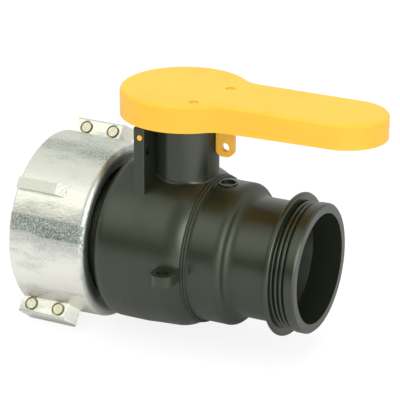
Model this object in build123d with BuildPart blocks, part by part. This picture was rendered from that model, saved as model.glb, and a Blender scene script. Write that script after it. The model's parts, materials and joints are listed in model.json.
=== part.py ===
from build123d import *
from math import cos, radians, sin, sqrt
import os

# Quarter-turn ball valve for the outlet of a bulk liquid container.
# X is the pipe axis and points the way the liquid flows, Z runs up the stem to the
# handle, and the origin is the middle of the inlet sealing face. Sizes are in mm.

os.makedirs("parts", exist_ok=True)

# Driving sizes: the port through the ball, the stem, and the nut's reach past the inlet
port_radius = 23.5
stem_radius = 8.0
nut_mouth_reach = 25.1
overrun = 5.0
running_clearance = 0.05

# Ball
ball_wall = 7.5
ball_clearance = 0.3
ball_edge_radius = 0.8
slot_width = 8.2
slot_depth = 4.5
ball_radius = port_radius + ball_wall
slot_floor = ball_radius - slot_depth

# Seats and their backing rings, alike on both sides of the ball. Their places along the
# pipe are measured from the middle of the ball.
seat_bore_clearance = 0.3
seat_heel_thickness = 5.67
seat_lip_length = 5.83
seat_radial_clearance = 0.1
seat_ring_inset = 3.5
seat_ring_section = 1.2
ring_groove_margin = 0.2
ring_groove_slack = 0.05
seat_sphere_radius = ball_radius + ball_clearance
seat_bore_radius = port_radius + seat_bore_clearance
seat_heel = sqrt(seat_sphere_radius**2 - seat_bore_radius**2)
seat_back = seat_heel + seat_heel_thickness
seat_front = seat_heel - seat_lip_length
seat_ring_radius = port_radius + seat_ring_inset
ring_groove_inner = seat_ring_radius - seat_ring_section - ring_groove_margin
ring_groove_outer = seat_ring_radius + seat_ring_section + ring_groove_margin
ring_groove_depth = 2 * seat_ring_section + ring_groove_slack

# Barrel: the moulded body with its inlet flange, stem tower, lock rib and ear
cavity_clearance = 0.8
pocket_step = 2.2
cavity_overlap = 1.5
port_lead = 2.0
flange_step = 3.6
flange_thickness = 5.7
neck_wall = 7.5
neck_length = 7.3
barrel_wall = 7.5
barrel_edge_radius = 6.5
barrel_end_wall = 4.0
barrel_straight_length = 20.0
barrel_waist_drop = 1.0
barrel_fall_length = 9.5
seam_wall = 2.6
bead_width = 1.1
bead_height = 0.7
cavity_radius = ball_radius + cavity_clearance
seat_pocket_radius = cavity_radius - pocket_step
cavity_reach = seat_front - cavity_overlap
neck_radius = port_radius + neck_wall
flange_radius = neck_radius + flange_step
barrel_radius = cavity_radius + barrel_wall
barrel_waist_radius = barrel_radius - barrel_waist_drop
seam_radius = cavity_radius + seam_wall

# Inlet gasket
gasket_thickness = 3.0
gasket_bore_step = 1.5
gasket_inset = 0.4
gasket_inner_radius = port_radius + gasket_bore_step
gasket_outer_radius = flange_radius - gasket_inset

# Stations along the pipe axis
flange_front = gasket_thickness
flange_back = flange_front + flange_thickness
barrel_left = flange_back + neck_length
ball_x = barrel_left + barrel_end_wall + seat_back
barrel_taper_start = barrel_left + barrel_straight_length

# Stem with its washer, bushing and seal rings
tongue_width = 8.0
tongue_length = 20.0
tongue_gap = 0.3
collar_step = 3.0
collar_clearance = 0.2
collar_gap = 0.6
collar_thickness = 3.8
washer_thickness = 1.0
washer_gap = 0.1
stem_ring_section = 1.0
stem_ring_rises = [6.5, 13.5]
bushing_wall = 3.0
bushing_length = 8.0
drive_corner_inset = 0.22
drive_clearance = 0.1
drive_length = 9.6
drive_bottom_gap = 0.9
stem_bore_radius = stem_radius + running_clearance
bushing_radius = stem_radius + bushing_wall
collar_radius = stem_radius + collar_step
collar_bore_radius = collar_radius + collar_clearance
collar_bottom = ball_radius + collar_gap
collar_top = collar_bottom + collar_thickness
collar_bore_top = collar_top + washer_thickness + washer_gap
stem_ring_heights = [collar_bore_top + rise for rise in stem_ring_rises]
drive_width = sqrt(2) * (stem_radius - drive_corner_inset)
stem_axis = Axis((ball_x, 0, 0), (0, 0, 1))
stem_plane = Plane((ball_x, 0, 0))

# Stem tower with the ring that stops the handle
tower_wall = 4.5
tower_length = 26.5
tower_fillet = 1.6
seam_gap = 0.2
stop_ring_wall = 3.1
stop_ring_height = 4.0
tower_radius = collar_bore_radius + tower_wall
tower_top = collar_bore_top + tower_length
seam_x = ball_x + tower_radius + seam_gap
barrel_waist_x = seam_x - bead_width - barrel_fall_length

# Lock tab under the handle, lock rib on the barrel, and the hole through both
tab_clearance = 0.5
tab_width = 8.7
tab_thickness = 3.0
tab_corner_radius = 3.2
tab_end_wall = 2.3
lock_inset = 4.6
lock_drop = 12.1
lock_hole_radius = 2.15
tab_inner = tower_radius + tab_clearance
lock_place = tab_inner + lock_inset
lock_height = tower_top - lock_drop
tab_bottom = lock_height - lock_hole_radius - tab_end_wall
rib_edge_wall = 1.65
rib_left = 13.9
rib_thickness = 5.4
rib_drop = 1.0
rib_fillet = 0.6
rib_front = lock_place + lock_hole_radius + rib_edge_wall
rib_top = tower_top - rib_drop
plug_drop = 4.3
plug_inset = 2.2
plug_radius = 1.6
plug_depth = 8.0
plug_recess = 1.1
plug_nib_inset = 0.3
plug_nib_length = 1.2
plug_clearance = 0.05
plug_height = rib_top - plug_drop
plug_place = rib_left - rib_thickness + plug_inset

# Ear on the front of the barrel
ear_place = 10.0
ear_stand = 2.7
ear_radius = 5.4
ear_top = 2.4
ear_thickness = 5.2
ear_hole_radius = 2.9
ear_reach = barrel_radius + ear_stand

# Handle
hub_radius = 30.0
grip_root_place = 35.0
grip_root_half_width = 18.5
grip_tip_place = 79.5
grip_tip_radius = 18.5
grip_blend_radius = 14.0
handle_gap = 1.3
handle_height = 12.7
handle_tip_rise = 1.3
handle_wall = 3.0
handle_edge_radius = 2.0
boss_clearance = 0.6
boss_gap = 0.5
stop_tooth_width = 6.0
stop_clearance = 0.3
web_thickness = 2.4
web_inset = 2.0
cross_rib_places = [38.0, 54.0, 70.0]
dimple_radius = 2.3
dimple_depth = 0.7
dimple_places = [(20.0, 5.5), (14.0, -19.6)]
pin_radius = 1.5
pin_inset = 0.5
pin_rise = 4.5
pin_clearance = 0.05
handle_bottom = tower_top + handle_gap
handle_top = handle_bottom + handle_height
boss_radius = tower_radius - stop_ring_wall - boss_clearance
boss_bottom = tower_top + boss_gap
web_bottom = handle_bottom + web_inset
shaft_top = handle_bottom - drive_bottom_gap + running_clearance
drive_top = shaft_top + drive_length
pin_height = handle_bottom + pin_rise
pin_length = 2 * (boss_radius - pin_inset)

# Outlet spigot
sleeve_clearance = 0.1
shoulder_wall = 3.8
shoulder_step = 1.1
ogee_inset = 3.9
ogee_length = 7.6
spigot_neck_length = 17.1
spigot_wall = 2.5
rim_thickness = 2.8
rim_stand = 5.2
thread_root_stand = 0.13
thread_depth = 1.47
thread_length = 6.9
land_length = 4.2
land_stand = 0.4
land_chamfer = 0.8
outlet_bore_step = 2.2
outlet_bore_depth = 14.5
outlet_cone_length = 6.0
top_boss_inset = 4.0
top_boss_radius = 4.4
top_boss_stand = 0.5
top_recess_radius = 3.5
top_recess_depth = 1.2
sleeve_radius = cavity_radius - sleeve_clearance
shoulder_radius = seat_pocket_radius + shoulder_wall
outlet_bore_radius = port_radius + outlet_bore_step
spigot_neck_radius = outlet_bore_radius + spigot_wall
rim_radius = spigot_neck_radius + rim_stand
thread_root_radius = spigot_neck_radius + thread_root_stand
land_radius = thread_root_radius + thread_depth + land_stand
ogee_place = ball_x + seat_back + ogee_inset
rim_x = ogee_place + ogee_length + spigot_neck_length
thread_x = rim_x + rim_thickness
outlet_x = thread_x + thread_length + land_length
outlet_bore_x = outlet_x - outlet_bore_depth
top_boss_x = ball_x + seat_back - top_boss_inset
top_boss_height = shoulder_radius + top_boss_stand

# Coupling nut: two die-cast halves riveted together round the inlet flange. Its split
# plane holds the pipe axis and leans back, so the nut has its own directions: along the
# split, outwards to the lugs, and square to the split.
nut_thread_step = 3.2
nut_wall = 3.86
nut_draft = 0.8
nut_thread_overlap = 0.1
nut_pocket_clearance = 0.4
nut_lip_gap = 0.3
nut_lip_clearance = 1.0
nut_lip_thickness = 2.8
nut_lip_bevel = 2.2
nut_rim_width = 1.2
nut_mouth_chamfer = 1.5
nut_edge_radius = 3.0
nut_split_angle = 52.4
rivet_stand = 3.31
rivet_inset = 5.72
rivet_spacing = 14.45
rivet_shank_radius = 1.9
rivet_head_radius = 2.85
rivet_head_height = 1.25
rivet_seat_clearance = 0.55
rivet_seat_depth = 1.0
rivet_edge_radius = 0.25
rivet_clearance = 0.05
lug_inset = 0.6
lug_length = 24.5
lug_bevel = 3.9
lug_end_wall = 4.53
lug_half_thickness = 6.6
lug_edge_radius = 1.2
pad_inset = 1.1
pad_length = 20.5
pad_bevel = 10.5
pad_stand = 2.84
pad_width = 5.3
pad_offset = 2.9
nut_thread_root_radius = flange_radius + nut_thread_step
nut_radius = nut_thread_root_radius + nut_wall
nut_mouth_radius = nut_radius + nut_draft
nut_pocket_radius = flange_radius + nut_pocket_clearance
nut_lip_radius = neck_radius + nut_lip_clearance
nut_lip_front = flange_back + nut_lip_gap
nut_lip_back = nut_lip_front + nut_lip_thickness
nut_tail_x = nut_lip_back + nut_lip_bevel
rivet_reach = nut_radius + rivet_stand
rivet_seat_radius = rivet_head_radius + rivet_seat_clearance
lug_reach = rivet_reach + lug_end_wall
lug_x = lug_inset - nut_mouth_reach
lug_flat_end = lug_x + lug_length
rivet_places = [lug_x + rivet_inset, lug_x + rivet_inset + rivet_spacing]
pad_x = pad_inset - nut_mouth_reach
pad_flat_end = pad_x + pad_length
pad_height = nut_radius + pad_stand
split_out = (0, cos(radians(nut_split_angle)), sin(radians(nut_split_angle)))
split_normal = (0, -split_out[2], split_out[1])
split_plane = Plane((0, 0, 0), x_dir=(1, 0, 0), z_dir=split_normal)
side_plane = Plane((0, 0, 0), x_dir=(1, 0, 0), z_dir=(0, -split_out[1], -split_out[2]))


def ogee(start, end):
    """Two equal tangent arcs that step from one radius to another along the pipe."""
    middle = ((start[0] + end[0]) / 2, (start[1] + end[1]) / 2)
    first = TangentArc(start, middle, tangent=(1, 0))
    TangentArc(middle, end, tangent=first % 1)


def seal_ring(label, axis, centre, section):
    """A round seal ring, turned about its axis from the middle of its section."""
    with BuildPart() as ring:
        with BuildSketch(Plane.XZ):
            with Locations(centre):
                Circle(section)
        revolve(axis=axis)
    ring.part.label = label
    return ring


# Barrel
with BuildPart() as body_barrel:
    with BuildSketch(Plane.XZ):
        with BuildLine():
            left = Polyline(
                (flange_front, 0),
                (flange_front, flange_radius),
                (flange_back, flange_radius),
                (flange_back, neck_radius),
                (barrel_left, neck_radius),
                (barrel_left, barrel_radius - barrel_edge_radius),
            )
            edge = TangentArc(
                left @ 1,
                (barrel_left + barrel_edge_radius, barrel_radius),
                tangent=(0, 1),
            )
            top = Polyline(
                edge @ 1,
                (barrel_taper_start, barrel_radius),
                (barrel_waist_x, barrel_waist_radius),
            )
            fall = TangentArc(top @ 1, (seam_x - bead_width, seam_radius), tangent=top % 1)
            bead = ThreePointArc(
                fall @ 1,
                (seam_x - bead_width / 2, seam_radius + bead_height),
                (seam_x, seam_radius),
            )
            Polyline(bead @ 1, (seam_x, 0), (flange_front, 0))
        make_face()
    revolve(axis=Axis.X)
    with BuildSketch(stem_plane):
        Circle(tower_radius)
    extrude(amount=tower_top)
    fillet(body_barrel.edges(Select.NEW), tower_fillet)
    with BuildSketch(stem_plane.offset(tower_top)):
        Circle(tower_radius)
        Circle(tower_radius - stop_ring_wall, mode=Mode.SUBTRACT)
        notch_edge = stop_tooth_width / 2 + stop_clearance
        with Locations((-notch_edge, notch_edge)):
            Rectangle(
                tower_radius + notch_edge + overrun,
                tower_radius + notch_edge + overrun,
                align=(Align.MIN, Align.MAX),
                mode=Mode.SUBTRACT,
            )
    extrude(amount=stop_ring_height)
    with BuildSketch(Plane.YZ.offset(ball_x - rib_left)):
        with Locations((-rib_front, 0)):
            Rectangle(rib_front, rib_top, align=Align.MIN)
    extrude(amount=rib_thickness)
    rib_edges = body_barrel.edges().filter_by(Axis.Z).group_by(Axis.Y)[0]
    fillet(rib_edges, rib_fillet)
    with BuildSketch(Plane.XY.offset(ear_top - ear_thickness)):
        with Locations((ball_x + ear_place, -ear_reach)):
            Circle(ear_radius)
        with Locations((ball_x + ear_place, -ear_reach / 2)):
            Rectangle(2 * ear_radius, ear_reach)
    extrude(amount=ear_thickness)
    with BuildSketch(Plane.XZ):
        with BuildLine():
            Polyline(
                (flange_front, 0),
                (flange_front, port_radius + port_lead),
                (flange_front + port_lead, port_radius),
                (ball_x - seat_back, port_radius),
                (ball_x - seat_back, ring_groove_inner),
                (ball_x - seat_back - ring_groove_depth, ring_groove_inner),
                (ball_x - seat_back - ring_groove_depth, ring_groove_outer),
                (ball_x - seat_back, ring_groove_outer),
                (ball_x - seat_back, seat_pocket_radius),
                (ball_x - cavity_reach, seat_pocket_radius),
                (ball_x - cavity_reach, cavity_radius),
                (seam_x, cavity_radius),
                (seam_x, 0),
                close=True,
            )
        make_face()
    revolve(axis=Axis.X, mode=Mode.SUBTRACT)
    with BuildSketch(stem_plane):
        Circle(collar_bore_radius)
    extrude(amount=collar_bore_top, mode=Mode.SUBTRACT)
    with BuildSketch(stem_plane):
        Circle(stem_bore_radius)
    extrude(amount=tower_top + overrun, mode=Mode.SUBTRACT)
    with BuildSketch(stem_plane.offset(tower_top - bushing_length)):
        Circle(bushing_radius)
    extrude(amount=bushing_length, mode=Mode.SUBTRACT)
    with BuildSketch(Plane.YZ.offset(ball_x - rib_left - overrun)):
        with Locations((-lock_place, lock_height)):
            Circle(lock_hole_radius)
    extrude(amount=rib_thickness + 2 * overrun, mode=Mode.SUBTRACT)
    with BuildSketch(Plane.XZ.offset(rib_front - plug_depth)):
        with Locations((ball_x - plug_place, plug_height)):
            Circle(plug_radius + plug_clearance)
    extrude(amount=plug_depth, mode=Mode.SUBTRACT)
    with BuildSketch(Plane.XY.offset(ear_top - ear_thickness)):
        with Locations((ball_x + ear_place, -ear_reach)):
            Circle(ear_hole_radius)
    extrude(amount=ear_thickness, mode=Mode.SUBTRACT)
body_barrel.part.label = "body_barrel"
export_step(body_barrel.part, "parts/body_barrel.step")

# Moulded plug in the front edge of the lock rib
with BuildPart() as rib_plug:
    with BuildSketch(Plane.XZ.offset(rib_front - plug_depth)):
        with Locations((ball_x - plug_place, plug_height)):
            Circle(plug_radius)
    extrude(amount=plug_depth - plug_recess)
    with BuildSketch(Plane.XZ.offset(rib_front - plug_recess)):
        with Locations((ball_x - plug_place, plug_height)):
            Circle(plug_radius - plug_nib_inset)
    extrude(amount=plug_nib_length)
rib_plug.part.label = "rib_plug"
export_step(rib_plug.part, "parts/rib_plug.step")

# Outlet spigot
with BuildPart() as outlet_spigot:
    with BuildSketch(Plane.XZ):
        with BuildLine():
            inside = Polyline(
                (seam_x, sleeve_radius),
                (ball_x + cavity_reach, sleeve_radius),
                (ball_x + cavity_reach, seat_pocket_radius),
                (ball_x + seat_back, seat_pocket_radius),
                (ball_x + seat_back, ring_groove_outer),
                (ball_x + seat_back + ring_groove_depth, ring_groove_outer),
                (ball_x + seat_back + ring_groove_depth, ring_groove_inner),
                (ball_x + seat_back, ring_groove_inner),
                (ball_x + seat_back, port_radius),
                (outlet_bore_x - outlet_cone_length, port_radius),
                (outlet_bore_x, outlet_bore_radius),
                (outlet_x, outlet_bore_radius),
                (outlet_x, land_radius - land_chamfer),
                (outlet_x - land_chamfer, land_radius),
                (thread_x + thread_length, land_radius),
                (thread_x + thread_length, thread_root_radius),
                (thread_x, thread_root_radius),
                (thread_x, rim_radius - rim_thickness / 2),
            )
            rim = ThreePointArc(
                inside @ 1,
                (rim_x + rim_thickness / 2, rim_radius),
                (rim_x, rim_radius - rim_thickness / 2),
            )
            Polyline(
                rim @ 1,
                (rim_x, spigot_neck_radius),
                (ogee_place + ogee_length, spigot_neck_radius),
            )
            ogee(
                (ogee_place, shoulder_radius),
                (ogee_place + ogee_length, spigot_neck_radius),
            )
            shoulder = Polyline(
                (ogee_place, shoulder_radius),
                (seam_x + bead_width + shoulder_step, shoulder_radius),
                (seam_x + bead_width, seam_radius - bead_height),
            )
            bead = ThreePointArc(
                shoulder @ 1,
                (seam_x + bead_width / 2, seam_radius + bead_height / 2),
                (seam_x, seam_radius),
            )
            Line(bead @ 1, inside @ 0)
        make_face()
    revolve(axis=Axis.X)
    boss_root = (seat_pocket_radius + shoulder_radius) / 2
    with BuildSketch(Plane.XY.offset(boss_root)):
        with Locations((top_boss_x, 0)):
            Circle(top_boss_radius)
    extrude(amount=top_boss_height - boss_root)
    with BuildSketch(Plane.XY.offset(top_boss_height - top_recess_depth)):
        with Locations((top_boss_x, 0)):
            Circle(top_recess_radius)
    extrude(amount=top_recess_depth, mode=Mode.SUBTRACT)
outlet_spigot.part.label = "outlet_spigot"
export_step(outlet_spigot.part, "parts/outlet_spigot.step")


# Seats with a spherical face, and the rings that press them to the ball
def seat(label, side):
    """A seat ring on the inlet side (-1) or the outlet side (+1) of the ball."""
    outer = seat_pocket_radius - seat_radial_clearance
    tip_radius = sqrt(seat_sphere_radius**2 - seat_front**2)
    mean_radius = (tip_radius + seat_bore_radius) / 2
    mean_place = sqrt(seat_sphere_radius**2 - mean_radius**2)
    with BuildPart() as ring:
        with BuildSketch(Plane.XZ):
            with BuildLine():
                Polyline(
                    (ball_x + side * seat_heel, seat_bore_radius),
                    (ball_x + side * seat_back, seat_bore_radius),
                    (ball_x + side * seat_back, outer),
                    (ball_x + side * seat_front, outer),
                    (ball_x + side * seat_front, tip_radius),
                )
                ThreePointArc(
                    (ball_x + side * seat_front, tip_radius),
                    (ball_x + side * mean_place, mean_radius),
                    (ball_x + side * seat_heel, seat_bore_radius),
                )
            make_face()
        revolve(axis=Axis.X)
    ring.part.label = label
    return ring


for side, name in ((-1, "inlet"), (1, "outlet")):
    seat_part = seat("seat_" + name, side)
    export_step(seat_part.part, "parts/seat_" + name + ".step")
    ring_x = ball_x + side * (seat_back + seat_ring_section)
    ring_part = seal_ring("seat_o_ring_" + name, Axis.X, (ring_x, seat_ring_radius), seat_ring_section)
    export_step(ring_part.part, "parts/seat_o_ring_" + name + ".step")

# Ball
with BuildPart() as ball:
    with Locations((ball_x, 0, 0)):
        Sphere(ball_radius)
    with BuildSketch(Plane.YZ):
        Circle(port_radius)
    extrude(amount=ball_x + ball_radius, mode=Mode.SUBTRACT)
    fillet(ball.edges().filter_by(GeomType.CIRCLE), ball_edge_radius)
    with BuildSketch(stem_plane.offset(slot_floor)):
        Rectangle(slot_width, 2 * ball_radius)
    extrude(amount=ball_radius, mode=Mode.SUBTRACT)
ball.part.label = "ball"
export_step(ball.part, "parts/ball.step")

# Stem
groove_floor = stem_radius - 2 * stem_ring_section - running_clearance
groove_half = stem_ring_section + ring_groove_margin / 2
with BuildPart() as stem:
    with BuildSketch(Plane.XZ):
        with BuildLine():
            shaft_points = [(ball_x, collar_bottom), (ball_x + collar_radius, collar_bottom)]
            shaft_points += [(ball_x + collar_radius, collar_top), (ball_x + stem_radius, collar_top)]
            for height in stem_ring_heights:
                shaft_points += [
                    (ball_x + stem_radius, height - groove_half),
                    (ball_x + groove_floor, height - groove_half),
                    (ball_x + groove_floor, height + groove_half),
                    (ball_x + stem_radius, height + groove_half),
                ]
            shaft_points += [(ball_x + stem_radius, shaft_top), (ball_x, shaft_top)]
            Polyline(shaft_points, close=True)
        make_face()
    revolve(axis=stem_axis)
    with BuildSketch(stem_plane.offset(slot_floor + tongue_gap)):
        Rectangle(tongue_width, tongue_length)
    extrude(amount=collar_bottom - slot_floor - tongue_gap)
    with BuildSketch(stem_plane.offset(shaft_top)):
        Rectangle(drive_width, drive_width)
    extrude(amount=drive_top - shaft_top)
    with BuildSketch(Plane.XZ.offset(-stem_radius)):
        with Locations((ball_x, pin_height)):
            Circle(pin_radius + pin_clearance)
    extrude(amount=2 * stem_radius, mode=Mode.SUBTRACT)
stem.part.label = "stem"
export_step(stem.part, "parts/stem.step")

for name, height in zip(("lower", "upper"), stem_ring_heights):
    middle = (ball_x + stem_radius - stem_ring_section, height)
    ring_part = seal_ring("stem_o_ring_" + name, stem_axis, middle, stem_ring_section)
    export_step(ring_part.part, "parts/stem_o_ring_" + name + ".step")

with BuildPart() as stem_washer:
    with BuildSketch(stem_plane.offset(collar_top)):
        Circle(collar_radius)
        Circle(stem_bore_radius, mode=Mode.SUBTRACT)
    extrude(amount=washer_thickness)
stem_washer.part.label = "stem_washer"
export_step(stem_washer.part, "parts/stem_washer.step")

with BuildPart() as stem_bushing:
    with BuildSketch(stem_plane.offset(tower_top - bushing_length)):
        Circle(bushing_radius)
        Circle(stem_bore_radius, mode=Mode.SUBTRACT)
    extrude(amount=bushing_length)
stem_bushing.part.label = "stem_bushing"
export_step(stem_bushing.part, "parts/stem_bushing.step")


# Handle
def handle_outline():
    """Round hub and tapered grip seen from above, with the corners between them blended."""
    with BuildSketch(Plane.XY, mode=Mode.PRIVATE) as outline:
        Circle(hub_radius)
        with BuildLine():
            Polyline(
                (0, grip_root_half_width),
                (grip_root_place, grip_root_half_width),
                (grip_tip_place, grip_tip_radius),
                (grip_tip_place, -grip_tip_radius),
                (grip_root_place, -grip_root_half_width),
                (0, -grip_root_half_width),
                close=True,
            )
        make_face()
        with Locations((grip_tip_place, 0)):
            Circle(grip_tip_radius)
        corner = sqrt(hub_radius**2 - grip_root_half_width**2)
        corners = [v for v in outline.vertices() if abs(v.X - corner) < handle_wall]
        fillet(corners, grip_blend_radius)
    return outline.sketch


underside_slope = handle_tip_rise / (grip_tip_place + grip_tip_radius - hub_radius)
underside = Plane(
    (ball_x + hub_radius, 0, handle_bottom), x_dir=(1, 0, 0), z_dir=(-underside_slope, 0, 1)
)
with BuildPart() as handle:
    with BuildSketch(stem_plane.offset(handle_bottom)):
        add(handle_outline())
    extrude(amount=handle_top - handle_bottom)
    split(bisect_by=underside, keep=Keep.TOP)
    top_face = handle.faces().sort_by(Axis.Z)[-1]
    fillet(top_face.edges(), handle_edge_radius)
    with BuildSketch(stem_plane.offset(handle_bottom)):
        add(handle_outline())
        offset(amount=-handle_wall, mode=Mode.REPLACE)
    extrude(amount=handle_top - handle_wall - handle_bottom, mode=Mode.SUBTRACT)
    with BuildSketch(stem_plane.offset(boss_bottom)):
        Circle(boss_radius)
    extrude(amount=handle_top - handle_wall / 2 - boss_bottom)
    with BuildSketch(stem_plane.offset(handle_bottom)):
        Rectangle(
            tower_radius - stop_clearance, stop_tooth_width, align=(Align.MIN, Align.CENTER)
        )
    extrude(amount=handle_top - handle_wall / 2 - handle_bottom)
    with BuildSketch(stem_plane.offset(web_bottom)):
        Rectangle(
            grip_tip_place + grip_tip_radius - handle_wall / 2,
            web_thickness,
            align=(Align.MIN, Align.CENTER),
        )
        for place in cross_rib_places:
            with Locations((place, 0)):
                Rectangle(web_thickness, 2 * grip_tip_radius - handle_wall / 2)
    extrude(amount=handle_top - handle_wall / 2 - web_bottom)
    with BuildSketch(Plane.XZ.offset(-tab_thickness / 2)):
        with Locations((ball_x + tab_inner, tab_bottom)):
            RectangleRounded(
                tab_width,
                handle_top - handle_wall / 2 - tab_bottom,
                tab_corner_radius,
                align=Align.MIN,
            )
        with Locations((ball_x + lock_place, lock_height)):
            Circle(lock_hole_radius, mode=Mode.SUBTRACT)
    extrude(amount=tab_thickness)
    with BuildSketch(stem_plane.offset(boss_bottom)):
        Rectangle(drive_width + 2 * drive_clearance, drive_width + 2 * drive_clearance)
    extrude(amount=drive_top + drive_clearance - boss_bottom, mode=Mode.SUBTRACT)
    with BuildSketch(Plane.XZ.offset(-boss_radius)):
        with Locations((ball_x, pin_height)):
            Circle(pin_radius + pin_clearance)
    extrude(amount=2 * boss_radius, mode=Mode.SUBTRACT)
    with BuildSketch(stem_plane.offset(handle_top)):
        with Locations(*dimple_places):
            Circle(dimple_radius)
    extrude(amount=-dimple_depth, mode=Mode.SUBTRACT)
handle.part.label = "handle"
export_step(handle.part, "parts/handle.step")

# Cross pin that holds the handle on the stem
with BuildPart() as handle_pin:
    with BuildSketch(Plane.XZ.offset(-pin_length / 2)):
        with Locations((ball_x, pin_height)):
            Circle(pin_radius)
    extrude(amount=pin_length)
handle_pin.part.label = "handle_pin"
export_step(handle_pin.part, "parts/handle_pin.step")

# Inlet gasket
with BuildPart() as inlet_gasket:
    with BuildSketch(Plane.YZ):
        Circle(gasket_outer_radius)
        Circle(gasket_inner_radius, mode=Mode.SUBTRACT)
    extrude(amount=gasket_thickness)
inlet_gasket.part.label = "inlet_gasket"
export_step(inlet_gasket.part, "parts/inlet_gasket.step")

def nut_half(label, keep, turn):
    """One half of the nut: the whole casting is shaped, then cut along its split."""
    with BuildPart() as half:
        with BuildSketch(split_plane):
            with BuildLine():
                mouth = Polyline(
                    (-nut_mouth_reach, 0),
                    (-nut_mouth_reach, nut_mouth_radius - nut_mouth_chamfer),
                    (-nut_mouth_reach + nut_mouth_chamfer, nut_mouth_radius),
                    (nut_tail_x - nut_edge_radius, nut_radius),
                )
                tail = TangentArc(
                    mouth @ 1, (nut_tail_x, nut_radius - nut_edge_radius), tangent=mouth % 1
                )
                Polyline(tail @ 1, (nut_tail_x, 0), (-nut_mouth_reach, 0))
            make_face()
        revolve(axis=Axis.X)
        with BuildSketch(side_plane):
            with BuildLine():
                Polyline(
                    (lug_x, lug_half_thickness),
                    (lug_flat_end, lug_half_thickness),
                    (lug_flat_end + lug_bevel, 0),
                    (lug_flat_end, -lug_half_thickness),
                    (lug_x, -lug_half_thickness),
                    close=True,
                )
            make_face()
        extrude(amount=lug_reach, both=True)
        along = half.edges().filter_by(Axis.X).group_by(Axis((0, 0, 0), split_out))
        fillet(along[0] + along[-1], lug_edge_radius)
        with BuildSketch(side_plane.offset(-turn * pad_offset)):
            with BuildLine():
                Polyline(
                    (pad_x, 0),
                    (pad_x, turn * pad_height),
                    (pad_flat_end, turn * pad_height),
                    (pad_flat_end + pad_bevel, turn * (nut_radius - nut_edge_radius)),
                    (pad_flat_end + pad_bevel, 0),
                    close=True,
                )
            make_face()
        extrude(amount=pad_width / 2, both=True)
        with BuildSketch(split_plane):
            with BuildLine():
                Polyline(
                    (-nut_mouth_reach, 0),
                    (-nut_mouth_reach, nut_thread_root_radius),
                    (nut_thread_overlap, nut_thread_root_radius),
                    (nut_thread_overlap, nut_pocket_radius),
                    (nut_lip_front, nut_pocket_radius),
                    (nut_lip_front, nut_lip_radius),
                    (nut_lip_back, nut_lip_radius),
                    (nut_tail_x, nut_radius - nut_edge_radius - nut_rim_width),
                    (nut_tail_x, 0),
                    close=True,
                )
            make_face()
        revolve(axis=Axis.X, mode=Mode.SUBTRACT)
        for place in rivet_places:
            for side in (-1, 1):
                with BuildSketch(split_plane):
                    with Locations((place, side * rivet_reach)):
                        Circle(rivet_shank_radius + rivet_clearance)
                extrude(amount=lug_half_thickness, both=True, mode=Mode.SUBTRACT)
                with BuildSketch(split_plane.offset(turn * lug_half_thickness)):
                    with Locations((place, side * rivet_reach)):
                        Circle(rivet_seat_radius)
                extrude(amount=-turn * rivet_seat_depth, mode=Mode.SUBTRACT)
        split(bisect_by=split_plane, keep=keep)
    half.part.label = label
    return half


nut_half_front = nut_half("nut_half_front", Keep.TOP, 1)
export_step(nut_half_front.part, "parts/nut_half_front.step")
nut_half_rear = nut_half("nut_half_rear", Keep.BOTTOM, -1)
export_step(nut_half_rear.part, "parts/nut_half_rear.step")


def rivet(label, place, side):
    """A rivet through both lugs, with a flat head in a spot face at each end."""
    seat_height = lug_half_thickness - rivet_seat_depth
    middle = split_plane.from_local_coords((place, side * rivet_reach, 0))
    plane = Plane(middle, x_dir=(1, 0, 0), z_dir=split_normal)
    with BuildPart() as pin:
        with BuildSketch(plane):
            Circle(rivet_shank_radius)
        extrude(amount=seat_height, both=True)
        for end in (-1, 1):
            with BuildSketch(plane.offset(end * seat_height)):
                Circle(rivet_head_radius)
            extrude(amount=end * rivet_head_height)
            head_face = pin.faces().sort_by(Axis(middle, split_normal))[0 if end < 0 else -1]
            fillet(head_face.edges(), rivet_edge_radius)
    pin.part.label = label
    return pin


for level, side in (("lower", -1), ("upper", 1)):
    for end, place in zip(("mouth", "tail"), rivet_places):
        name = "rivet_" + level + "_" + end
        rivet_part = rivet(name, place, side)
        export_step(rivet_part.part, "parts/" + name + ".step")
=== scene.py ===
# %% [markdown]
# # A tank valve with a riveted coupling nut
#
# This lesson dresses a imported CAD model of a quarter-turn ball valve. The CAD
# gives the shapes, the sizes and the moving bodies. Here the valve gets its
# camera, its light, its finishes and the two threads, which a CAD model of a
# part like this usually leaves plain.
#
# Everything is in metres, in the frame of the CAD: +X is the way the liquid
# flows, +Z goes up along the stem, and the origin is the middle of the inlet
# sealing face.

# %% Load the frame
import json
from math import cos, pi, radians, sin

import bpy
from mathutils import Matrix, Vector


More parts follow.
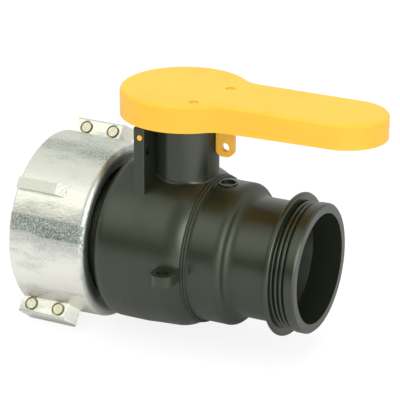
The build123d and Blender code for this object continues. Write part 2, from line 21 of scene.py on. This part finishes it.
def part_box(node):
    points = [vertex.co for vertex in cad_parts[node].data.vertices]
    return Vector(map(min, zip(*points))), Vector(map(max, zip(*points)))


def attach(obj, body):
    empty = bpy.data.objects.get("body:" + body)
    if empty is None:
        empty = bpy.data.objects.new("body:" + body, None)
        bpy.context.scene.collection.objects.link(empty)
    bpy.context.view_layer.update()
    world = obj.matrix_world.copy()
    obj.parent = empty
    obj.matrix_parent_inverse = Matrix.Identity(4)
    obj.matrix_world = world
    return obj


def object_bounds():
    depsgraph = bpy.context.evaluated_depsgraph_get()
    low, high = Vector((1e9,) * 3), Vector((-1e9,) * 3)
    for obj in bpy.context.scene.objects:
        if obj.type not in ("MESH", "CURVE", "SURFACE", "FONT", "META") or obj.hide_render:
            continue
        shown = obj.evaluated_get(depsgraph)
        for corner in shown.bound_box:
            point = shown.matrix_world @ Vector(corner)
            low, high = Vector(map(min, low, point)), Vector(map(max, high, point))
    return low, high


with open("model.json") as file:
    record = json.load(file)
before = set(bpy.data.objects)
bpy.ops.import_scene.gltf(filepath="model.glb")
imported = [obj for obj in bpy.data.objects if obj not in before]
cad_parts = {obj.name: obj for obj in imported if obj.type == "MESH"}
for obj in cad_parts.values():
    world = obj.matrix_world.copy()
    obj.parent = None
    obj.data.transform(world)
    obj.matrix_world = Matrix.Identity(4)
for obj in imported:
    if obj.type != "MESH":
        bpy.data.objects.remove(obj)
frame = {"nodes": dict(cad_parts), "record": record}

millimetre = 0.001
cad_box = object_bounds()
print("nodes", len(frame["nodes"]), "CAD box", cad_box)

# %% [markdown]
# ## Camera
#
# A camera can be placed by eye, or worked out from the picture. The round
# edges of this valve show as ellipses, and those fix the viewing angle, the
# distance and the lens. So the camera is written with measured numbers: the
# angles of its line of sight, its distance from the point that it looks at,
# and its focal length in pixels of a 400 pixel picture.

# %% Camera
picture_pixels, focal_pixels = 400, 2003.0
camera_turn, camera_height, camera_roll = radians(26.45), radians(21.36), radians(0.34)
camera_distance = 0.9253
aim = Vector((0.05363, 0.0, 0.02259))

towards_camera = Vector(
    (
        sin(camera_turn) * cos(camera_height),
        -cos(camera_turn) * cos(camera_height),
        sin(camera_height),
    )
)
level = Vector((cos(camera_turn), sin(camera_turn), 0.0))
rise = towards_camera.cross(level)
right = level * cos(camera_roll) + rise * sin(camera_roll)
up = rise * cos(camera_roll) - level * sin(camera_roll)

camera_data = bpy.data.cameras.new("camera")
camera_data.sensor_width = 36.0
camera_data.lens = camera_data.sensor_width * focal_pixels / picture_pixels
camera = bpy.data.objects.new("camera", camera_data)
camera.matrix_world = Matrix.Translation(aim + towards_camera * camera_distance) @ (
    Matrix((right, up, towards_camera)).transposed().to_4x4()
)
bpy.context.scene.collection.objects.link(camera)
bpy.context.scene.camera = camera
bpy.context.scene.view_settings.view_transform = "Standard"
print("lens", round(camera_data.lens, 2), "mm")

# %% [markdown]
# ## Writing shader maths
#
# A finish is a network of nodes. Adding every Math node by hand makes a long
# and dull script, so one small class wraps a node's output and lets sums and
# products be written as in Python. A second class holds one finish and has a
# single method that makes any other kind of node.

# %% Shader maths
class Wire:
    """A node's output. Arithmetic on it adds Math nodes."""

    def __init__(self, finish, socket):
        self.finish, self.socket = finish, socket

    def __add__(self, other):
        return self.finish.math("ADD", self, other)

    def __sub__(self, other):
        return self.finish.math("SUBTRACT", self, other)

    def __rsub__(self, other):
        return self.finish.math("SUBTRACT", other, self)

    def __mul__(self, other):
        return self.finish.math("MULTIPLY", self, other)

    def __pow__(self, other):
        return self.finish.math("POWER", self, other)

    def __abs__(self):
        return self.finish.math("ABSOLUTE", self)

    __radd__ = __add__
    __rmul__ = __mul__

    def clamp(self):
        return self.finish.math("MINIMUM", self.finish.math("MAXIMUM", self, 0.0), 1.0)

    def ramp(self, low, high):
        """0 below low, 1 above high and smooth between them."""
        return self.finish.node(
            "MapRange",
            {"interpolation_type": "SMOOTHSTEP"},
            {"Value": self, "From Min": low, "From Max": high},
        )

    def band(self, centre, core, edge):
        """1 within core of a centre, and 0 further than edge from it."""
        return 1 - abs(self - centre).ramp(core, edge)


class Finish:
    """One node network: a material's, or the world's."""

    def __init__(self, owner):
        self.owner = owner
        owner.use_nodes = True
        self.tree = owner.node_tree
        self.tree.nodes.clear()

    def node(self, kind, settings=None, values=None, output=0):
        """A node of any kind, and a wire from one of its outputs."""
        node = self.tree.nodes.new("ShaderNode" + kind)
        for name, setting in (settings or {}).items():
            setattr(node, name, setting)
        for name, value in (values or {}).items():
            self.plug(node.inputs[name], value)
        return Wire(self, node.outputs[output]) if node.outputs else node

    def math(self, operation, *values):
        return self.node("Math", {"operation": operation}, dict(enumerate(values)))

    def axes(self, vector):
        """The X, Y and Z of a vector, as three wires."""
        parts = self.node("SeparateXYZ", values={"Vector": vector}).socket.node
        return [Wire(self, parts.outputs[axis]) for axis in "XYZ"]

    def plug(self, socket, value):
        """Link a wire to a socket, or set the socket to a plain value."""
        if isinstance(value, Wire):
            self.tree.links.new(value.socket, socket)
        else:
            socket.default_value = value


def rgb(red, green, blue):
    """A colour as seen on a screen, 0 to 255, made linear by the sRGB curve."""
    shares = [part / 255 for part in (red, green, blue)]
    return tuple(
        share / 12.92 if share < 0.04045 else ((share + 0.055) / 1.055) ** 2.4
        for share in shares
    ) + (1.0,)


print("shader classes ready")

# %% [markdown]
# ## Surface finishes, shared parts
#
# Every finish here starts the same way: a Principled shader, the object's own
# coordinates, and noises at two scales. A third class sets that up. Object
# coordinates are metres from the row's origin, so a pattern keeps its real
# size on each piece and runs on from one piece to the next.

# %% A surface to start from
class Surface(Finish):
    """A Principled surface with object coordinates."""

    def __init__(self, name, **sockets):
        super().__init__(bpy.data.materials.new(name))
        self.place = self.node("TexCoord", output="Object")
        self.shader = self.node("BsdfPrincipled")
        self.set(**sockets)
        self.node("OutputMaterial", values={"Surface": self.shader})

    def set(self, **sockets):
        """Set the shader's sockets, with _ for a space in a socket's name."""
        principled = self.shader.socket.node
        for name, value in sockets.items():
            self.plug(principled.inputs[name.replace("_", " ")], value)

    def noise(self, size, detail=2.0, roughness=0.5, place=None):
        """Noise whose blotches are about size metres across, from 0 to 1."""
        return self.node(
            "TexNoise",
            values={
                "Vector": place or self.place,
                "Scale": 1 / size,
                "Detail": detail,
                "Roughness": roughness,
            },
        )

    def blend(self, share, first, second):
        """A colour between two colours."""
        return self.node(
            "Mix",
            {"data_type": "RGBA"},
            {0: share, 6: first, 7: second},
            output=2,
        )

    def bump(self, height, depth, strength=1.0):
        """Relief depth metres deep where height goes from 0 to 1."""
        relief = {"Strength": strength, "Distance": depth, "Height": height}
        self.set(Normal=self.node("Bump", values=relief))


print("surface class ready")

# %% [markdown]
# ## Black moulded polymer
#
# The barrel and the spigot are glass-filled polypropylene, moulded in one
# colour with a faint green in it. Such a surface is satin: it has a soft,
# broad reflection that breaks up a little where the melt flowed, and a very
# fine grain from the mould. An even roughness would do for most of it, but
# the ogee shoulder is a little duller and the weld's bead at the seam is
# blurred by the heat, so both get a band of their own along the pipe.

# %% Body finish
seam_middle, ogee_middle = 61.9 * millimetre, 79.5 * millimetre

body = Surface("body_polymer", Metallic=0.0)
flow = body.noise(35 * millimetre, detail=3.0)
grain = body.noise(0.6 * millimetre, detail=2.0)
station, _, _ = body.axes(body.place)
seam = station.band(seam_middle, core=1.1 * millimetre, edge=1.7 * millimetre)
ogee = station.band(ogee_middle, core=2 * millimetre, edge=6 * millimetre)
body.set(
    Base_Color=body.blend(flow.ramp(0.3, 0.7), rgb(33, 39, 27), rgb(39, 45, 32)),
    Roughness=0.24 + flow * 0.08 + grain * 0.02 + ogee * 0.16 + seam * 0.25,
    IOR=1.62,
    Specular_Tint=(0.97, 1.0, 0.9, 1.0),
)
body.bump(grain, 0.02 * millimetre, strength=0.5)
print("body finish ready, seam at", seam_middle)

# %% [markdown]
# ## Yellow handle
#
# The handle is the same kind of moulding in a strong yellow. Its shade shifts
# a little over the length, as pigment does, and handling has dulled it in
# patches, so the roughness changes more than the colour.

# %% Handle finish
yellow = Surface("handle_yellow", Metallic=0.0)
pigment = yellow.noise(30 * millimetre, detail=3.0)
skin = yellow.noise(0.9 * millimetre, detail=2.0)
yellow.set(
    Base_Color=yellow.blend(
        pigment.ramp(0.3, 0.7), rgb(254, 192, 52), rgb(255, 198, 62)
    ),
    Roughness=0.38 + pigment * 0.08 + skin * 0.05,
)
yellow.bump(skin, 0.02 * millimetre, strength=0.4)
print("handle finish ready")

# %% [markdown]
# ## Bright die-cast nut
#
# The two halves of the nut are die cast and zinc plated. The metal is bright
# but never even: it has cloudy patches. Two darker, grainy streaks run along
# it on the outside, one on the front a little above the axis and one near the
# top: these are painted reflections, where the round wall mirrors dark parts
# of the studio. The raised pads and the rear edge are duller, and the rear
# edge's colour is darkened and tinted teal as a painted reflection of the dark
# body beside it.
#
# One broad noise, stretched along the pipe, makes the clouds and bends the
# streaks, and a fine noise shows mostly inside them. The streaks are placed by
# the angle round the pipe axis, because a straight stripe in X, Y or Z would
# change its width on a round wall. The tops of the pads are parallel to the
# plane that splits the nut, so the distance from that plane finds them.

# %% Where the nut is dull, and where reflections are painted
split_angle = radians(52.4)
front_reflection_angle, top_reflection_angle = radians(17), radians(77)
nut_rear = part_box("nut_half_front")[1][0]

zinc = Surface("nut_zinc", Metallic=1.0)
stretch = zinc.node(
    "Mapping", values={"Vector": zinc.place, "Scale": (0.35, 1.0, 1.0)}
)
clouds = zinc.noise(12 * millimetre, detail=4.0, roughness=0.6, place=stretch)
crystals = zinc.noise(0.8 * millimetre, detail=2.0, roughness=0.6)
lengthwise, across, upward = zinc.axes(zinc.place)


def radius(first, second):
    """How far a point is from an axis, by its two coordinates across it."""
    return (first * first + second * second) ** 0.5


angle = zinc.math("ARCTAN2", upward, across * -1.0) + (clouds - 0.5) * 0.12
outside = radius(across, upward).ramp(40.2 * millimetre, 41.2 * millimetre)
# The two streaks are painted reflections: the colour darkens where the round wall mirrors
# dark parts of the studio.
painted_reflection_streaks = (
    angle.band(front_reflection_angle, core=0.08, edge=0.115) * 1.2
    + angle.band(top_reflection_angle, core=0.04, edge=0.15) * 0.6
)
mottle_and_painted_reflection = painted_reflection_streaks * outside + clouds.ramp(0.46, 0.62) * 0.45
from_split = upward * cos(split_angle) - across * sin(split_angle)
raised = abs(from_split).ramp(42.5 * millimetre, 43.1 * millimetre)
# Near the rear edge the nut is duller, and its colour is darkened and tinted teal as a
# painted reflection of the dark body beside it.
tail = lengthwise.ramp(nut_rear - 1.9 * millimetre, nut_rear - 0.5 * millimetre)
print("nut's rear edge at", round(nut_rear, 5))

# %% Nut finish
speckle = (crystals - 0.5) * (0.15 + mottle_and_painted_reflection * 1.3)
# The colour darkens towards teal in the metal's own cloudy patches, in the painted
# reflection streaks, and at the rear edge as a painted reflection of the dark body.
zinc.set(
    Base_Color=zinc.blend(
        (mottle_and_painted_reflection * 0.5 + speckle * 1.6 + raised * 0.1 + tail * 0.4).clamp(),
        rgb(240, 240, 231),
        rgb(134, 150, 143),
    ),
    Roughness=(0.3 + mottle_and_painted_reflection * 0.05 + speckle * 0.3 + raised * 0.2 + tail * 0.14).clamp(),
)
zinc.bump((crystals - 0.5) * (0.45 + mottle_and_painted_reflection * 0.55), 0.5 * millimetre, strength=0.8)
print("nut finish ready")

# %% [markdown]
# ## Rivets and the handle's pin
#
# The rivet heads were formed by a rolling tool, which leaves faint rings
# round the middle of each head. A dark ring is painted near each head's rim:
# it is painted shade of the gap round the head. Each rivet could have a
# finish of its own, but the four lie evenly about the pipe axis in the nut's
# split plane. So the coordinates are turned into that plane, folded onto one
# rivet and measured from its axis. Two of the CAD's rivets say where that is.

# %% Where the rivets are
def middle(box):
    """The middle of a box that is given by its lowest and highest corners."""
    low, high = box
    return (Vector(low) + Vector(high)) / 2


mouth_rivet = middle(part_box("rivet_upper_mouth"))
tail_rivet = middle(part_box("rivet_upper_tail"))
rivet_middle = (mouth_rivet.x + tail_rivet.x) / 2
rivet_half_step = (tail_rivet.x - mouth_rivet.x) / 2
rivet_reach = mouth_rivet.yz.length
print("rivets", round(rivet_reach, 5), "from the axis,", round(rivet_middle, 6))

# %% Steel finish
ring_radians_per_metre = 4500.0

steel = Surface("plated_steel", Metallic=1.0)
turned = steel.node(
    "Mapping", values={"Vector": steel.place, "Rotation": (-split_angle, 0.0, 0.0)}
)
along, outward, _ = steel.axes(turned)
from_axis = radius(
    abs(along - rivet_middle) - rivet_half_step, abs(outward) - rivet_reach
)
rings = steel.math("SINE", from_axis * ring_radians_per_metre)
# A dark ring near each head's rim is painted shade of the gap round the head.
painted_rim_shade = from_axis.ramp(2.2 * millimetre, 2.6 * millimetre) * (
    1 - from_axis.ramp(2.8 * millimetre, 2.9 * millimetre)
)
plate = steel.noise(1.2 * millimetre, detail=3.0)
bright = steel.blend(plate.ramp(0.3, 0.75), rgb(250, 246, 220), rgb(228, 223, 198))
steel.set(
    Base_Color=steel.blend(painted_rim_shade, bright, rgb(128, 118, 92)),
    Roughness=0.42 + plate * 0.12,
)
steel.bump(rings * 0.5 + plate, 0.06 * millimetre, strength=0.5)
print("steel finish ready")

# %% [markdown]
# ## Inner parts
#
# The ball, the seats, the seals, the stem and its bushing hardly show, but
# each is a different stuff: a polished black ball, waxy white seats, dull
# rubber, a glass-filled black stem and a cream bushing. Each could have a
# network of its own, but they share one small recipe: a colour that drifts, a
# roughness that follows it, and a fine grain.

# %% Finishes of the inner parts
def plain_finish(name, first, second, rough, patch, grit, relief):
    """A moulded or turned finish with drift and grain. Its sizes are in mm."""
    surface = Surface(name, Metallic=0.0)
    drift = surface.noise(patch * millimetre, detail=3.0)
    fine = surface.noise(grit * millimetre, detail=2.0)
    surface.set(
        Base_Color=surface.blend(drift.ramp(0.3, 0.7), first, second),
        Roughness=rough + drift * 0.08,
    )
    surface.bump(fine, relief * millimetre, strength=0.5)
    return surface


finish_of_slot = {
    "body": body,
    "handle": yellow,
    "nut": zinc,
    "steel": steel,
    "ball": plain_finish(
        "polished_ball", rgb(44, 44, 42), rgb(52, 52, 49), 0.16, 20, 0.8, 0.01
    ),
    "seat": plain_finish(
        "white_seat", rgb(232, 231, 224), rgb(240, 239, 233), 0.42, 10, 0.7, 0.02
    ),
    "seal": plain_finish(
        "black_rubber", rgb(34, 34, 34), rgb(44, 43, 42), 0.62, 6, 0.5, 0.03
    ),
    "stem": plain_finish(
        "stem_polymer", rgb(52, 52, 50), rgb(64, 63, 60), 0.42, 8, 0.5, 0.03
    ),
    "bushing": plain_finish(
        "bushing_cream", rgb(216, 214, 204), rgb(226, 224, 215), 0.45, 8, 0.6, 0.02
    ),
}
for part in frame["record"]["subparts"]:
    mesh = frame["nodes"][part["node"]].data
    mesh.materials.clear()
    mesh.materials.append(finish_of_slot[part["material_slot"]].owner)

# %% [markdown]
# ## Threads
#
# A thread is a ridge that winds along a cylinder. It could be a spiral curve
# with a profile, or a stack of rings, but the Screw modifier does what a lathe
# does: it turns one flat section about an axis while it moves along. The
# section starts as a plane, its outer edge is narrowed into a crest, and the
# crest's corners are rounded. Both ends are closed and tapered into the wall,
# or hidden in the solid that the real thread runs into.

# %% Helpers for modelling
steps_per_turn = 90
rounded_share = 0.35
merge_distance = 0.01 * millimetre
smooth_angle = radians(40)


def start_mesh(name):
    """Name the primitive just added and put its place in its mesh."""
    piece = bpy.context.object
    piece.name = piece.data.name = name
    bpy.ops.object.transform_apply(location=True, rotation=True, scale=True)
    return piece


def pick(piece, wanted):
    """In edit mode, select only the wanted vertices, and give their places."""
    bpy.ops.mesh.select_mode(type="VERT")
    bpy.ops.mesh.select_all(action="DESELECT")
    bpy.ops.object.mode_set(mode="OBJECT")
    chosen = [vertex for vertex in piece.data.vertices if wanted(vertex)]
    for vertex in chosen:
        vertex.select = True
    places = [vertex.co.copy() for vertex in chosen]
    bpy.ops.object.mode_set(mode="EDIT")
    return places


def ridge(name, start, end, pitch, root, crest, root_width, crest_width, finish):
    """A helical thread ridge about the pipe axis, from one radius to another."""
    bpy.ops.object.select_all(action="DESELECT")
    bpy.ops.mesh.primitive_plane_add(
        size=1.0,
        location=(start, 0.0, (root + crest) / 2),
        rotation=(pi / 2, 0.0, 0.0),
    )
    bpy.context.object.scale = (root_width, abs(crest - root), 1.0)
    piece = start_mesh(name)
    bpy.ops.object.mode_set(mode="EDIT")
    pick(piece, lambda vertex: abs(vertex.co.z - crest) < abs(vertex.co.z - root))
    bpy.ops.transform.resize(value=(crest_width / root_width, 1.0, 1.0))
    bpy.ops.mesh.bevel(
        offset=crest_width * rounded_share, segments=2, affect="VERTICES"
    )
    bpy.ops.object.mode_set(mode="OBJECT")
    corners = len(piece.data.vertices)
    turns = (end - start) / pitch
    screw = piece.modifiers.new("thread", "SCREW")
    screw.axis = "X"
    screw.angle = turns * 2 * pi
    screw.screw_offset = end - start
    screw.steps = screw.render_steps = round(turns * steps_per_turn)
    screw.use_smooth_shade = True
    bpy.ops.object.modifier_apply(modifier=screw.name)
    piece.data.materials.append(finish.owner)
    return piece, corners


def close_ridge(piece):
    """Close the ridge's ends, turn its faces outwards and shade it."""
    bpy.ops.object.mode_set(mode="EDIT")
    bpy.ops.mesh.select_all(action="SELECT")
    bpy.ops.mesh.remove_doubles(threshold=merge_distance)
    bpy.ops.mesh.select_mode(type="EDGE")
    bpy.ops.mesh.select_all(action="DESELECT")
    bpy.ops.mesh.select_non_manifold()
    bpy.ops.mesh.fill_holes(sides=0)
    bpy.ops.mesh.select_all(action="SELECT")
    bpy.ops.mesh.normals_make_consistent(inside=False)
    bpy.ops.object.mode_set(mode="OBJECT")
    bpy.ops.object.shade_smooth_by_angle(angle=smooth_angle)


print("modelling helpers ready")

# %% [markdown]
# The outlet's thread is a short pipe thread of 11 turns to the inch, 2.31 mm
# apart. Its root is 0.1 mm inside the CAD's wall, so no gap shows under it.
# It starts inside the stop rim and ends inside the plain end.

# %% Outlet thread
outlet_thread, _ = ridge(
    "outlet_thread",
    start=102.6 * millimetre,
    end=111.0 * millimetre,
    pitch=2.31 * millimetre,
    root=28.23 * millimetre,
    crest=29.78 * millimetre,
    root_width=2.25 * millimetre,
    crest_width=1.1 * millimetre,
    finish=body,
)
close_ridge(outlet_thread)
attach(outlet_thread, "valve_body")
print("outlet thread faces", len(outlet_thread.data.polygons))

# %% [markdown]
# The nut's thread is the same ridge turned inside out: its root is 0.1 mm
# inside the nut's wall, whose radius is in the record, and its crest points at
# the axis. Both ends show in the nut's mouth, so their last few sections are
# shrunk towards the wall, as a real thread runs out.

# %% Nut thread
nut_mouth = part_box("nut_half_front")[0][0]
mounts = {mount["name"]: mount for mount in frame["record"]["mounts"]}
nut_root = (mounts["inlet_thread"]["dims"]["r_mm"] + 0.1) * millimetre

nut_thread, corners = ridge(
    "nut_thread_front",
    start=nut_mouth + 3.3 * millimetre,
    end=-2.6 * millimetre,
    pitch=6 * millimetre,
    root=nut_root,
    crest=35 * millimetre,
    root_width=4.4 * millimetre,
    crest_width=1.8 * millimetre,
    finish=zinc,
)
last_row = len(nut_thread.data.vertices) // corners - 1
taper_shares = (0.06, 0.3, 0.6, 0.85)
bpy.ops.object.mode_set(mode="EDIT")
for end_row, inward in ((0, 1), (last_row, -1)):
    for step, share in enumerate(taper_shares):
        row = end_row + inward * step
        places = pick(nut_thread, lambda vertex: vertex.index // corners == row)
        foot = sum(places, Vector()) / len(places)
        foot.yz = foot.yz.normalized() * nut_root
        bpy.ops.transform.resize(value=(share,) * 3, center_override=foot)
bpy.ops.object.mode_set(mode="OBJECT")
close_ridge(nut_thread)
print("nut thread sections", last_row + 1)

# %% [markdown]
# The nut is cast in two halves, so its thread is too. A boolean could cut it,
# but a bisect is exact and fills the cut. The ridge is copied, and each copy
# is cut a hair's breadth short of the split plane, so the halves never meet.

# %% Splitting the nut thread
split_normal = Vector((0.0, -sin(split_angle), cos(split_angle)))
half_gap = 0.03 * millimetre

bpy.ops.object.duplicate()
nut_thread_rear = bpy.context.object
nut_thread_rear.name = nut_thread_rear.data.name = "nut_thread_rear"
for piece, side in ((nut_thread, 1.0), (nut_thread_rear, -1.0)):
    bpy.ops.object.select_all(action="DESELECT")
    bpy.context.view_layer.objects.active = piece
    piece.select_set(True)
    bpy.ops.object.mode_set(mode="EDIT")
    bpy.ops.mesh.select_all(action="SELECT")
    bpy.ops.mesh.bisect(
        plane_co=split_normal * side * -half_gap,
        plane_no=split_normal * side,
        use_fill=True,
        clear_outer=True,
    )
    bpy.ops.mesh.select_all(action="SELECT")
    bpy.ops.mesh.normals_make_consistent(inside=False)
    bpy.ops.object.mode_set(mode="OBJECT")
    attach(piece, "coupling_nut")
    print(piece.name, "faces", len(piece.data.polygons))

# %% [markdown]
# ## Floor
#
# The valve stands on a white sheet. A sheet bright enough to be pure white
# would throw too much light up at the valve, so the camera sees a mix: mostly
# a plain white glow, and a share of the lit floor, which keeps a soft shadow.
# A glossy surface mirrors a duller sheet, with a faint glow on the right in
# front, where the window side of the studio shines on it.

# %% Floor
floor_height = cad_box[0][2] - 0.2 * millimetre
bpy.ops.object.select_all(action="DESELECT")
bpy.ops.mesh.primitive_circle_add(
    vertices=96, radius=6.0, fill_type="NGON", location=(0.05, 0.0, floor_height)
)
floor = start_mesh("floor")
print("floor at", round(floor_height, 5))

# %% Floor finish
def grey(level):
    """A colour with no hue."""
    return (level, level, level, 1.0)


paper_glow, shadow_share = 1.14, 0.25

sheet = Finish(bpy.data.materials.new("white_sheet"))
is_camera, is_glossy = (
    sheet.node("LightPath", output=name) for name in ("Is Camera Ray", "Is Glossy Ray")
)
rightward, backward, _ = sheet.axes(sheet.node("TexCoord", output="Object"))
sheen = rightward.ramp(0.08, 0.3) * (1 - backward.ramp(-0.06, 0.04)) * 0.7 + 0.1
lit_white = sheet.node("BsdfDiffuse", values={"Color": grey(0.9)})
duller_white = sheet.node("BsdfDiffuse", values={"Color": grey(0.75)})
plain_glow = sheet.node("Emission", values={"Strength": paper_glow})
window_glow = sheet.node("Emission", values={"Strength": sheen})
seen = sheet.node("MixShader", values={0: shadow_share, 1: plain_glow, 2: lit_white})
mirrored = sheet.node("AddShader", values={0: duller_white, 1: window_glow})
other = sheet.node("MixShader", values={0: is_glossy, 1: lit_white, 2: mirrored})
surface = sheet.node("MixShader", values={0: is_camera, 1: other, 2: seen})
sheet.node("OutputMaterial", values={"Surface": surface})
floor.data.materials.append(sheet.owner)
print("floor finish ready")

# %% [markdown]
# ## Light
#
# The lamps and the world's plain white light the valve softly from all sides.
# What a glossy surface mirrors is set apart from that: there the world shows a
# studio, with a pale wall, a dark doorway low on the left in front, a dimmer
# gap straight ahead, a dim high corner at the back on the left, a warm softbox
# on the left and a bright window on the right. These draw the long streaks on
# the barrel and the bands on the nut.

# %% The mirrored studio
wall_level, window_level, softbox_level = 0.86, 4.5, 0.7

studio = Finish(bpy.data.worlds.new("studio"))
bpy.context.scene.world = studio.owner
direction = studio.node("TexCoord", output="Generated")
sideways, depth, height = studio.axes(direction)


def patch(towards, inner, outer):
    """1 within an angle of a direction and 0 beyond a wider one, in degrees."""
    cosine = studio.node(
        "VectorMath",
        {"operation": "DOT_PRODUCT"},
        {0: direction, 1: tuple(Vector(towards).normalized())},
        output="Value",
    )
    return cosine.ramp(cos(radians(outer)), cos(radians(inner)))


in_front = 1 - depth.ramp(-0.35, 0.1)
doorway = (1 - height.ramp(0.22, 0.34)) * (1 - sideways.ramp(0.1, 0.45)) * in_front
gap = sideways.ramp(-0.2, 0.1) * (1 - sideways.ramp(0.45, 0.6)) * in_front
high_corner = patch((-0.48, 0.58, 0.66), inner=4, outer=20)
wall = wall_level * (1 - doorway * 0.92) * (1 - gap * 0.45) * (1 - high_corner * 0.35)
window = patch((0.84, -0.4, 0.36), inner=10, outer=24) * window_level
softbox_glow = patch((-0.45, -0.56, 0.69), inner=8, outer=22) * softbox_level
print("mirrored studio ready")

# %% World
def background(colour, strength):
    """A light of one colour from all round."""
    return studio.node("Background", values={"Color": colour, "Strength": strength})


cool_white, warm_white = (0.975, 1.0, 0.955, 1.0), (1.0, 0.95, 0.8, 1.0)
fill_level, white_level = 0.64, 1.0

mirror = studio.node(
    "AddShader",
    values={
        0: background(cool_white, wall + window),
        1: background(warm_white, softbox_glow),
    },
)
is_camera, is_glossy, is_transmitted = (
    studio.node("LightPath", output=name)
    for name in ("Is Camera Ray", "Is Glossy Ray", "Is Transmission Ray")
)
is_mirror = (is_glossy + is_transmitted).clamp()
fill, white = (background(grey(1.0), level) for level in (fill_level, white_level))
around = studio.node("MixShader", values={0: is_mirror, 1: fill, 2: mirror})
surroundings = studio.node("MixShader", values={0: is_camera, 1: around, 2: white})
studio.node("OutputWorld", values={"Surface": surroundings})
print("world ready")

# %% [markdown]
# Three square lamps add the soft shading that a plain world can't: one from
# the left in front, one from above and a weaker one from the right. They are
# placed by direction and distance from the valve's middle, so each faces it.

# %% Softboxes
valve_middle = middle(cad_box)


def softbox(name, direction, distance, size, power):
    """A square area lamp that faces the valve and isn't mirrored in it."""
    lamp = bpy.data.lights.new(name, "AREA")
    lamp.size, lamp.energy = size, power
    holder = bpy.data.objects.new(name, lamp)
    towards = Vector(direction).normalized()
    holder.matrix_world = Matrix.Translation(valve_middle + towards * distance) @ (
        towards.to_track_quat("Z", "Y").to_matrix().to_4x4()
    )
    holder.visible_camera = holder.visible_glossy = False
    bpy.context.scene.collection.objects.link(holder)
    print(name, [round(part, 3) for part in holder.location])


softbox("key", (-0.42, -0.62, 0.66), distance=1.0, size=0.8, power=2.8)
softbox("overhead", (0.15, 0.1, 1.0), distance=0.9, size=0.7, power=3.7)
softbox("side", (0.75, -0.62, 0.12), distance=1.0, size=0.5, power=2.4)
